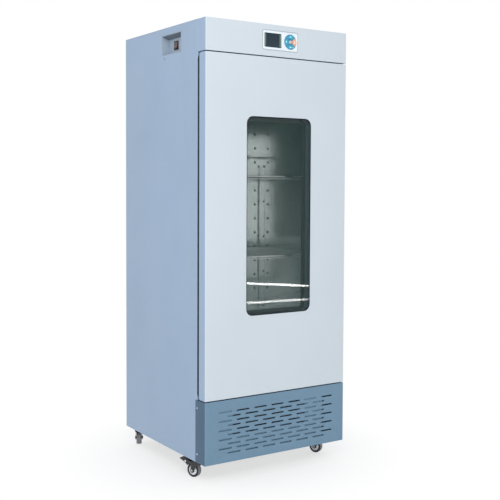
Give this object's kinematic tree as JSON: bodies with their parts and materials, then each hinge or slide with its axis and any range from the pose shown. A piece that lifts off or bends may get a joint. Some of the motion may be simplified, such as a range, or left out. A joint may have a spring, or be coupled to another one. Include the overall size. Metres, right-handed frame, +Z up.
{
  "type": "bod incubator",
  "caption": "Tall insulated laboratory incubator cabinet with a windowed hinged door, wire shelves, control panel, slotted base cover and swivel casters.",
  "frame": {"origin": "on the floor, under the middle of the cabinet", "axes": "+Z up, -Y towards the user in front of the door, +X towards the hinged side"},
  "size_m": [0.6082, 0.6238, 1.59],
  "materials": {
    "blue_paint": "satin powder coat",
    "white_paint": "semi-gloss powder coat",
    "grille_paint": "satin powder coat",
    "galvanised_steel": "zinc plated",
    "stainless_steel": "brushed",
    "chromed_wire": "polished",
    "foam": "matt, hidden",
    "white_plastic": "gloss",
    "blue_plastic": "satin",
    "grey_plastic": "satin",
    "black_plastic": "satin",
    "red_plastic": "gloss",
    "screen": "glossy screen",
    "teal_key": "gloss",
    "orange_key": "gloss",
    "silver_key": "gloss",
    "rubber": "matt",
    "tyre": "matt",
    "glass": "clear",
    "black_steel": "satin black",
    "copper": "drawn tube",
    "aluminium": "mill"
  },
  "bodies": {
    "cabinet": {"side_panel_left": "blue_paint", "side_panel_right": "blue_paint", "top_panel": "blue_paint", "back_panel": "blue_paint", "base_pan": "galvanised_steel", "header_fascia": "white_paint", "grille_cover": "grille_paint", "front_sill": "blue_paint", "control_bezel": "white_plastic", "display_module": "screen", "hinge_bracket_top": "galvanised_steel", "hinge_bracket_bottom": "galvanised_steel", "insulation": "foam", "inner_liner": "stainless_steel", "duct_panel": "stainless_steel", "breaker_frame": "blue_paint", "shelf_rack_left": "stainless_steel", "shelf_rack_right": "stainless_steel", "sensor_probe": "stainless_steel", "circulation_fan_motor": "galvanised_steel", "evaporator_coil": "copper", "heating_element": "stainless_steel", "condenser": "aluminium", "cooling_fan_shroud": "black_plastic", "compressor": "black_steel", "power_inlet": "black_plastic", "switch_pocket": "blue_plastic", "switch_frame": "black_plastic", "caster_plate_front_left": "black_steel", "caster_plate_front_right": "black_steel", "caster_plate_rear_left": "black_steel", "caster_plate_rear_right": "black_steel"},
    "door": {"door_skin": "white_paint", "window_seal": "rubber", "door_liner": "white_plastic", "outer_glass": "glass", "inner_frame": "black_plastic", "inner_glass": "glass", "door_gasket": "rubber"},
    "top_shelf": {"shelf_top": "chromed_wire"},
    "middle_shelf": {"shelf_middle": "chromed_wire"},
    "bottom_shelf": {"shelf_bottom": "chromed_wire"},
    "circulation_fan": {"circulation_fan_rotor": "grey_plastic"},
    "cooling_fan": {"cooling_fan_rotor": "grey_plastic"},
    "rocker": {"power_rocker": "red_plastic"},
    "up_key": {"key_up": "teal_key"},
    "down_key": {"key_down": "teal_key"},
    "left_key": {"key_left": "teal_key"},
    "right_key": {"key_right": "orange_key"},
    "centre_key": {"key_centre": "silver_key"},
    "fork_front_left": {"caster_fork_front_left": "black_steel"},
    "fork_front_right": {"caster_fork_front_right": "black_steel"},
    "fork_rear_left": {"caster_fork_rear_left": "black_steel"},
    "fork_rear_right": {"caster_fork_rear_right": "black_steel"},
    "wheel_front_left": {"caster_wheel_front_left": "tyre"},
    "wheel_front_right": {"caster_wheel_front_right": "tyre"},
    "wheel_rear_left": {"caster_wheel_rear_left": "tyre"},
    "wheel_rear_right": {"caster_wheel_rear_right": "tyre"},
    "pedal_front_left": {"brake_pedal_front_left": "black_steel"},
    "pedal_front_right": {"brake_pedal_front_right": "black_steel"}
  },
  "joints": [
    {"name": "door_hinge", "type": "hinge", "parent": "cabinet", "child": "door", "pos_m": [0.282, -0.291, 0.884], "axis": [0, 0, 1], "range_deg": [0, 120]},
    {"name": "top_shelf_slide", "type": "slide", "parent": "cabinet", "child": "top_shelf", "axis": [0, -1, 0], "range_m": [0, 0.02]},
    {"name": "middle_shelf_slide", "type": "slide", "parent": "cabinet", "child": "middle_shelf", "axis": [0, -1, 0], "range_m": [0, 0.02]},
    {"name": "bottom_shelf_slide", "type": "slide", "parent": "cabinet", "child": "bottom_shelf", "axis": [0, -1, 0], "range_m": [0, 0.02]},
    {"name": "circulation_fan_spin", "type": "hinge", "parent": "cabinet", "child": "circulation_fan", "pos_m": [0, 0.1975, 1.32], "axis": [0, 1, 0], "continuous": true},
    {"name": "cooling_fan_spin", "type": "hinge", "parent": "cabinet", "child": "cooling_fan", "pos_m": [-0.04, -0.2114, 0.1673], "axis": [0, 1, 0], "continuous": true},
    {"name": "power_rocker_tilt", "type": "hinge", "parent": "cabinet", "child": "rocker", "pos_m": [-0.2753, -0.056, 1.527], "axis": [0, 1, 0], "range_deg": [-16, 0]},
    {"name": "up_key_press", "type": "slide", "parent": "cabinet", "child": "up_key", "axis": [0, 1, 0], "range_m": [0, 0.0006], "stiffness_N_per_m": 400},
    {"name": "down_key_press", "type": "slide", "parent": "cabinet", "child": "down_key", "axis": [0, 1, 0], "range_m": [0, 0.0006], "stiffness_N_per_m": 400},
    {"name": "left_key_press", "type": "slide", "parent": "cabinet", "child": "left_key", "axis": [0, 1, 0], "range_m": [0, 0.0006], "stiffness_N_per_m": 400},
    {"name": "right_key_press", "type": "slide", "parent": "cabinet", "child": "right_key", "axis": [0, 1, 0], "range_m": [0, 0.0006], "stiffness_N_per_m": 400},
    {"name": "centre_key_press", "type": "slide", "parent": "cabinet", "child": "centre_key", "axis": [0, 1, 0], "range_m": [0, 0.0006], "stiffness_N_per_m": 400},
    {"name": "swivel_front_left", "type": "hinge", "parent": "cabinet", "child": "fork_front_left", "pos_m": [-0.268, -0.208, 0.0585], "axis": [0, 0, 1], "continuous": true},
    {"name": "swivel_front_right", "type": "hinge", "parent": "cabinet", "child": "fork_front_right", "pos_m": [0.268, -0.208, 0.0585], "axis": [0, 0, 1], "continuous": true},
    {"name": "swivel_rear_left", "type": "hinge", "parent": "cabinet", "child": "fork_rear_left", "pos_m": [-0.268, 0.264, 0.0585], "axis": [0, 0, 1], "continuous": true},
    {"name": "swivel_rear_right", "type": "hinge", "parent": "cabinet", "child": "fork_rear_right", "pos_m": [0.268, 0.264, 0.0585], "axis": [0, 0, 1], "continuous": true},
    {"name": "roll_front_left", "type": "hinge", "parent": "fork_front_left", "child": "wheel_front_left", "pos_m": [-0.27476, -0.1935, 0.025], "axis": [-0.9063, -0.4226, 0], "continuous": true},
    {"name": "roll_front_right", "type": "hinge", "parent": "fork_front_right", "child": "wheel_front_right", "pos_m": [0.26124, -0.1935, 0.025], "axis": [-0.9063, -0.4226, 0], "continuous": true},
    {"name": "roll_rear_left", "type": "hinge", "parent": "fork_rear_left", "child": "wheel_rear_left", "pos_m": [-0.26099, 0.27838, 0.025], "axis": [-0.8988, 0.4384, 0], "continuous": true},
    {"name": "roll_rear_right", "type": "hinge", "parent": "fork_rear_right", "child": "wheel_rear_right", "pos_m": [0.26099, 0.27838, 0.025], "axis": [-0.8988, -0.4384, 0], "continuous": true},
    {"name": "pedal_press_front_left", "type": "hinge", "parent": "fork_front_left", "child": "pedal_front_left", "pos_m": [-0.28744, -0.16631, 0.054], "axis": [-0.9063, -0.4226, 0], "range_deg": [0, 20]},
    {"name": "pedal_press_front_right", "type": "hinge", "parent": "fork_front_right", "child": "pedal_front_right", "pos_m": [0.24856, -0.16631, 0.054], "axis": [-0.9063, -0.4226, 0], "range_deg": [0, 20]}
  ]
}
